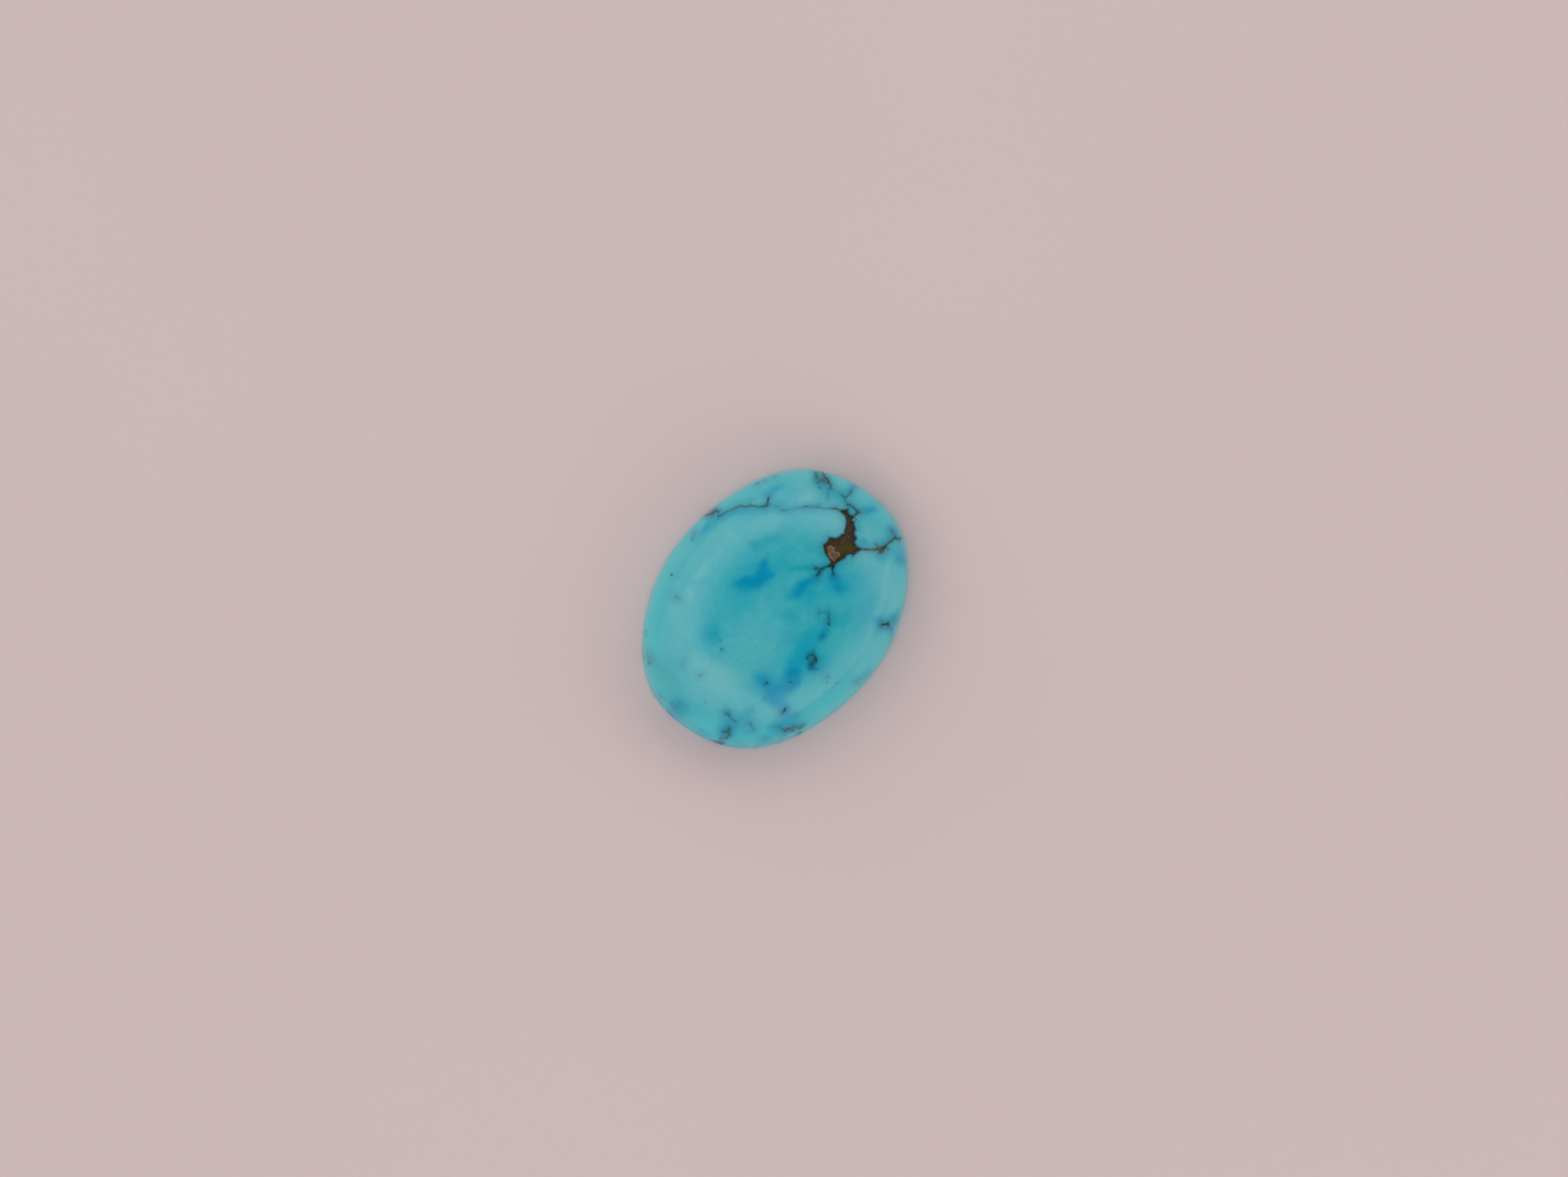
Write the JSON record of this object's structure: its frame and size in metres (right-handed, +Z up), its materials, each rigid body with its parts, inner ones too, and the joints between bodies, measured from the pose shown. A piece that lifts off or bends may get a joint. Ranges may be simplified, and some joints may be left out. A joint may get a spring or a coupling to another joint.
{
  "type": "turquoise cabochon",
  "caption": "Polished oval turquoise cabochon with brown matrix: a domed stone with a flat ground back, loose or ready for a setting.",
  "frame": {"origin": "middle of the flat back, at the bottom centre of the stone's box", "axes": "+Z up out of the dome, X along the stone's length, with the matrix patch at the +X end, and Y across its width"},
  "size_m": [0.0178, 0.014, 0.0052],
  "materials": {
    "turquoise": "polished dome with a waxy to glassy shine, fine ground back"
  },
  "bodies": {
    "root": {"cabochon": "turquoise"}
  },
  "joints": []
}
